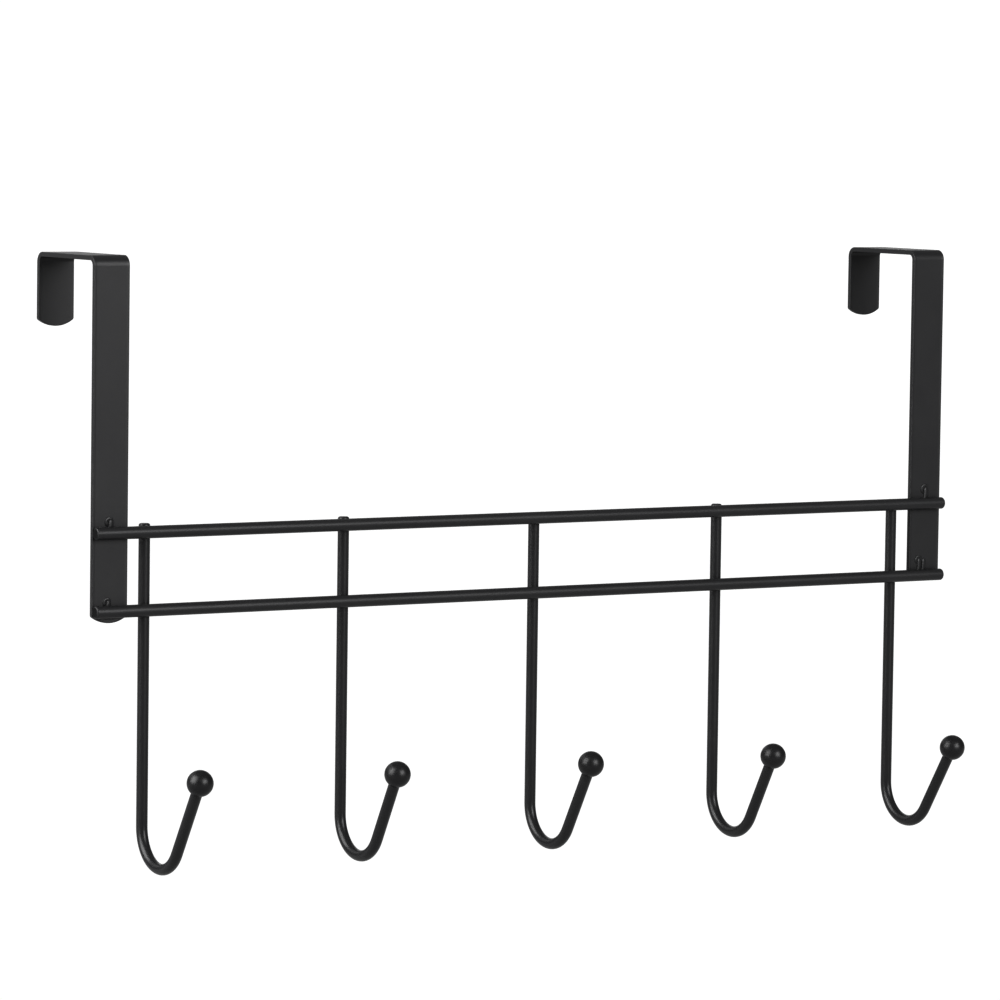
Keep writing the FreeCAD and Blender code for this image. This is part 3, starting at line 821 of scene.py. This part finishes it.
def softbox(name, aim, azimuth, elevation, distance, width, height, power):
    """A soft area light; azimuth 0 is straight in front and 90 is beyond the rack's right end."""
    turn, rise = radians(azimuth), radians(elevation)
    away = Vector((sin(turn) * cos(rise), -cos(turn) * cos(rise), sin(rise)))
    lamp = bpy.data.lights.new(name, "AREA")
    lamp.shape = "RECTANGLE"
    lamp.size, lamp.size_y = width, height
    lamp.energy = power
    light = bpy.data.objects.new(name, lamp)
    light.location = aim + away * distance
    light.rotation_euler = (-away).to_track_quat("-Z", "Y").to_euler()
    light.visible_camera = False
    bpy.context.scene.collection.objects.link(light)


class RACK_OT_stage(bpy.types.Operator):
    """Lays the pale floor, hangs the softboxes and sets up the camera"""

    bl_idname = "rack.stage"
    bl_label = "Stage"

    yaw: FloatProperty(
        name="Yaw", description="Turn of the view from straight ahead",
        subtype="ANGLE", default=radians(-32.6248))
    pitch: FloatProperty(
        name="Pitch", description="Downward tilt of the view",
        subtype="ANGLE", default=radians(4.3378))
    roll: FloatProperty(
        name="Roll", description="Roll of the camera",
        subtype="ANGLE", default=radians(0.7879))
    distance: FloatProperty(
        name="Distance", description="From the camera to the point it aims at",
        unit="LENGTH", default=2.34794)
    aim_x: FloatProperty(
        name="Aim along the rack", description="Where the camera aims, along the rails",
        unit="LENGTH", default=-0.018733)
    aim_z: FloatProperty(
        name="Aim height", description="Where the camera aims, in height",
        unit="LENGTH", default=-0.103035)

    def execute(self, context):
        studio = context.scene.rack_studio
        self.floor(studio)
        self.lights(studio)
        self.camera(studio)
        room_light(studio)
        context.scene.view_settings.view_transform = "Standard"
        context.scene.view_settings.look = "None"
        context.scene.view_settings.gamma = 1 / studio.print_contrast
        return {"FINISHED"}

    def floor(self, studio):
        rest_selection()
        level = cad_low.z - studio.drop_to_floor
        bpy.ops.mesh.primitive_plane_add(size=FLOOR_SIZE, location=(0, 0, level))
        floor = bpy.context.object
        bpy.ops.object.transform_apply(location=True)
        floor.name = "studio_floor"
        floor.data.materials.append(floor_material(studio))

    def lights(self, studio):
        aim = (cad_low + cad_high) / 2
        # azimuth, elevation, distance, width, height and power
        softbox("side_softbox", aim, -95, 27, 1.6, 1.4, 1.5, studio.side_light)
        softbox("front_softbox", aim, 12, 20, 4.0, 2.5, 2.3, studio.front_light)
        softbox("back_panel", aim, 147, 8, 2.0, 1.6, 1.0, studio.back_light)
        softbox("back_fill", aim, -160, 32, 3.0, 2.4, 1.8, studio.fill_light)

    def camera(self, studio):
        lens = bpy.data.cameras.new("camera")
        lens.lens = studio.lens
        lens.sensor_width = 36
        lens.clip_end = 50
        view = bpy.data.objects.new("camera", lens)
        turned = Matrix.Rotation(self.yaw, 3, "Z") @ Matrix.Rotation(pi / 2 - self.pitch, 3, "X")
        turned = turned @ Matrix.Rotation(self.roll, 3, "Z")
        view.rotation_euler = turned.to_euler()
        aim = Vector((self.aim_x, 0, self.aim_z))
        view.location = aim + turned @ Vector((0, 0, self.distance))
        bpy.context.scene.collection.objects.link(view)
        bpy.context.scene.camera = view


OPERATORS = (RACK_OT_coat, RACK_OT_weld_nubs, RACK_OT_weld_flash, RACK_OT_ball_necks, RACK_OT_stage)


class RACK_PT_panel(bpy.types.Panel):
    """Lists the rack's sizes, colours and steps"""

    bl_idname = "RACK_PT_panel"
    bl_label = "Hook Rack"
    bl_space_type = "VIEW_3D"
    bl_region_type = "UI"
    bl_category = "Hook Rack"

    def draw(self, context):
        scene = context.scene
        for title, group in (
            ("Coat", scene.rack_finish),
            ("Welds", scene.rack_welds),
            ("Studio", scene.rack_studio),
        ):
            box = self.layout.box()
            box.label(text=title)
            for key in group.__annotations__:
                box.prop(group, key)
        for step in OPERATORS:
            self.layout.operator(step.bl_idname)


CLASSES = (RackFinish, RackWelds, RackStudio, *OPERATORS, RACK_PT_panel)


def register():
    for each in CLASSES:
        bpy.utils.register_class(each)
    bpy.types.Scene.rack_finish = PointerProperty(type=RackFinish)
    bpy.types.Scene.rack_welds = PointerProperty(type=RackWelds)
    bpy.types.Scene.rack_studio = PointerProperty(type=RackStudio)


def unregister():
    del bpy.types.Scene.rack_studio
    del bpy.types.Scene.rack_welds
    del bpy.types.Scene.rack_finish
    for each in reversed(CLASSES):
        bpy.utils.unregister_class(each)


def main():
    register()
    bpy.ops.rack.coat()
    bpy.ops.rack.weld_nubs()
    bpy.ops.rack.weld_flash()
    bpy.ops.rack.ball_necks()
    bpy.ops.rack.stage()


if __name__ == "__main__":
    main()
